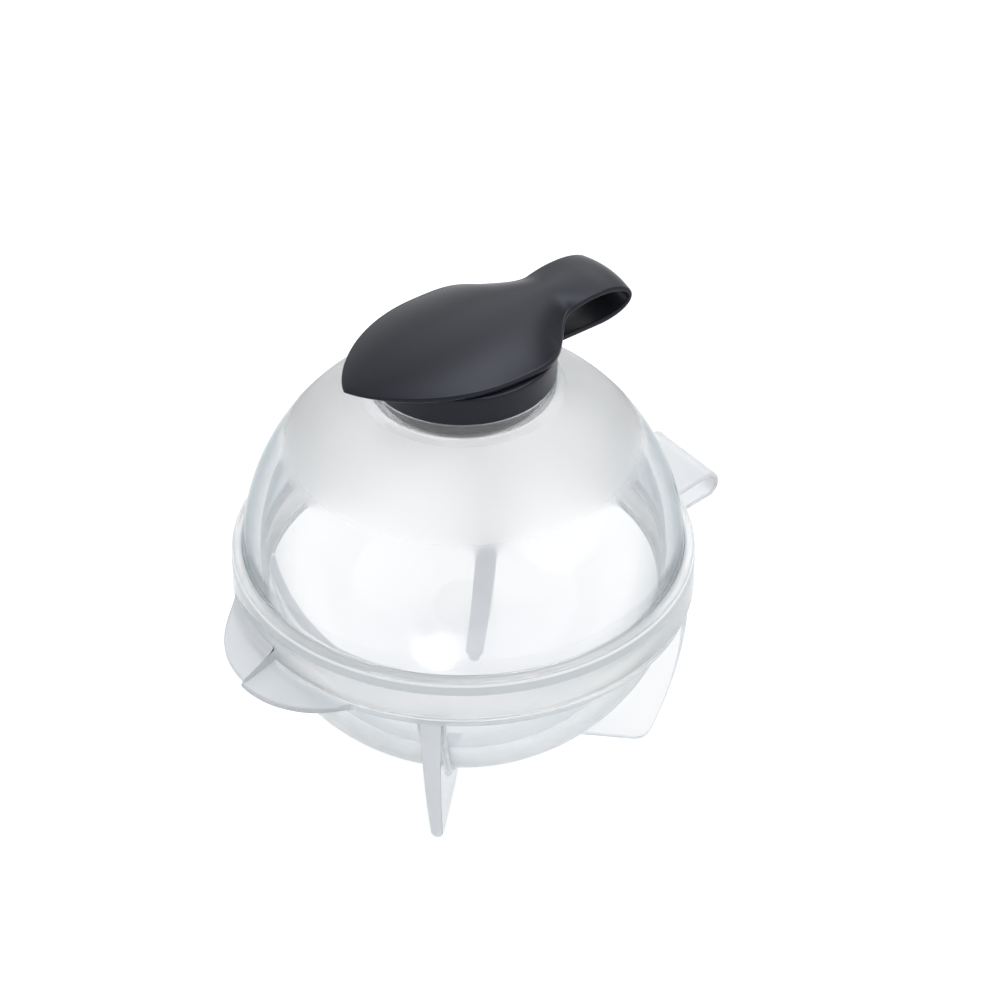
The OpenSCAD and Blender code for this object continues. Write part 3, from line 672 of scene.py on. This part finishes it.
plug_section = soft_outline(
    [arc(0, 0, BALL_R, 90, np.degrees(np.arccos(PLUG_R / BALL_R)), 40),
     np.concatenate([[(PLUG_R, np.sqrt(BALL_R**2 - PLUG_R**2))], rib(0.7), rib(0.3), [(PLUG_R, HEAD_Z)]]),
     [(PLUG_R, HEAD_Z), (HEAD_R, HEAD_Z)],
     [(HEAD_R, HEAD_Z), (HEAD_R, LEAF_Z)],
     [(HEAD_R, LEAF_Z), (0, LEAF_Z)]],
    [0.0, 0.0, 0.5, 0.5])
round_turn = np.radians(np.linspace(-180, 180, 128, endpoint=False))
plug = skin("silicone_plug", turned(plug_section, round_turn), crease=40)
sheet = grip_sheet()
grip = skin("silicone_leaf_and_loop", sheet, wrap_u=False, wrap_v=True, ends=(0, len(sheet) - 1), crease=50)
silicone = black_silicone()
for piece, nodes in ((plug, ("stopper_plug",)), (grip, ("stopper_leaf", "pull_loop"))):
    piece.data.materials.append(silicone)
    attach(piece, "stopper")
    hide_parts(*nodes)

# Studio: a plain white floor that keeps the part's soft shadow, a pale surround, three broad soft lamps, a
# small one high up for crisp lights on the edges and the leaf, and the camera at the photograph's angle.
FLOOR_HALF, FLOOR_Z = 6, -0.0001
SEEN_LIFT, MIRRORED_LIFT = 0.4, 0.24
TURN, TILT = np.radians(53.0), np.radians(37.1)
FOCAL_PX, FRAME_PX, FAR, SENSOR = 5118.0, 1000, 0.8, 36.0
BALL_PX = np.array([463.4, 544.6])
LAMPS = (  # name, metres to the right, back and up from the ball, width in metres, watts
    ("key", -0.55, -0.1, 0.8, 1.2, 1.6),
    ("fill", 0.8, -0.4, 0.6, 1.0, 1.4),
    ("rim", 0.15, 0.8, 0.7, 0.7, 1.7),
    ("top", 0.22, 0.26, 0.9, 0.4, 2.1),
)
corners = [(x * FLOOR_HALF, y * FLOOR_HALF, FLOOR_Z) for x, y in ((-1, -1), (1, -1), (1, 1), (-1, 1))]
floor_mesh = bpy.data.meshes.new("floor")
floor_mesh.from_pydata(corners, [], [(0, 1, 2, 3)])
floor = bpy.data.objects.new("floor", floor_mesh)
bpy.context.collection.objects.link(floor)
paper = bpy.data.materials.new("white paper floor")
tree = empty_tree(paper)
grain = wire(tree, "ShaderNodeTexNoise", (-600, 200), Scale=8.0, Detail=2.0)
tone = wire(tree, "ShaderNodeMapRange", (-400, 200), **{"To Min": 0.79, "To Max": 0.81})
matt = wire(tree, "ShaderNodeBsdfDiffuse", (-100, 200))
path = wire(tree, "ShaderNodeLightPath", (-800, -100)).outputs
mirrored = maths(tree, "MAXIMUM", (-600, -250), path["Is Glossy Ray"], path["Is Transmission Ray"])
mirrored = maths(tree, "MULTIPLY", (-400, -250), mirrored, MIRRORED_LIFT)
lift = maths(tree, "MULTIPLY_ADD", (-250, -100), path["Is Camera Ray"], SEEN_LIFT, mirrored)
glow = wire(tree, "ShaderNodeEmission", (-100, -100), Color=(1, 1, 1, 1))
both = wire(tree, "ShaderNodeAddShader", (150, 100))
output = wire(tree, "ShaderNodeOutputMaterial", (350, 100))
tree.links.new(grain.outputs["Fac"], tone.inputs["Value"])
tree.links.new(tone.outputs[0], matt.inputs["Color"])
tree.links.new(lift, glow.inputs["Strength"])
tree.links.new(matt.outputs[0], both.inputs[0])
tree.links.new(glow.outputs[0], both.inputs[1])
tree.links.new(both.outputs[0], output.inputs["Surface"])
floor_mesh.materials.append(paper)

world = bpy.data.worlds.new("studio surround")
bpy.context.scene.world = world
tree = empty_tree(world)
where = wire(tree, "ShaderNodeTexCoord", (-800, 0))
height = wire(tree, "ShaderNodeSeparateXYZ", (-600, 0))
fade = wire(tree, "ShaderNodeMapRange", (-400, 0), interpolation_type="SMOOTHSTEP",
            **{"From Min": 0.1, "From Max": 0.85, "To Min": 0.95, "To Max": 0.5})
sky = wire(tree, "ShaderNodeBackground", (-150, 0), Color=(1, 1, 1, 1))
output = wire(tree, "ShaderNodeOutputWorld", (100, 0))
tree.links.new(where.outputs["Generated"], height.inputs[0])
tree.links.new(height.outputs["Z"], fade.inputs["Value"])
tree.links.new(fade.outputs[0], sky.inputs["Strength"])
tree.links.new(sky.outputs[0], output.inputs["Surface"])


def stood(right, upward, backward, spot):
    """Place of a lamp or camera at a spot: a matrix with its right, up and back directions as columns."""
    turned_to = np.column_stack([right, upward, backward, spot])
    return Matrix(np.vstack([turned_to, [0, 0, 0, 1]]).tolist())


up = np.array([0.0, 0.0, 1.0])
right = np.array([np.cos(TURN), np.sin(TURN), 0.0])
level = np.array([-np.sin(TURN), np.cos(TURN), 0.0])
for name, to_right, back, rise, width, watts in LAMPS:
    lamp = bpy.data.lights.new(name, "AREA")
    lamp.shape = "DISK"
    lamp.size = width
    lamp.energy = watts
    spot = BALL + to_right * right + back * level + rise * up
    aim = (BALL - spot) / np.linalg.norm(BALL - spot)
    flat = np.cross(aim, up) / np.linalg.norm(np.cross(aim, up))
    holder = bpy.data.objects.new(name, lamp)
    holder.matrix_world = stood(flat, np.cross(flat, aim), -aim, spot)
    bpy.context.collection.objects.link(holder)

ahead = level * np.cos(TILT) - up * np.sin(TILT)
upward = level * np.sin(TILT) + up * np.cos(TILT)
off_x, off_y = (BALL_PX - FRAME_PX / 2) / FOCAL_PX
eye = BALL - FAR * (off_x * right - off_y * upward + ahead)
camera = bpy.data.objects.new("camera", bpy.data.cameras.new("camera"))
camera.data.sensor_width = SENSOR
camera.data.lens = FOCAL_PX / FRAME_PX * SENSOR
camera.data.clip_start = 0.01
camera.matrix_world = stood(right, upward, -ahead, eye)
bpy.context.collection.objects.link(camera)
bpy.context.scene.camera = camera
bpy.context.scene.view_settings.view_transform = "Standard"
bpy.context.scene.cycles.max_bounces = 32
bpy.context.scene.cycles.transmission_bounces = 32
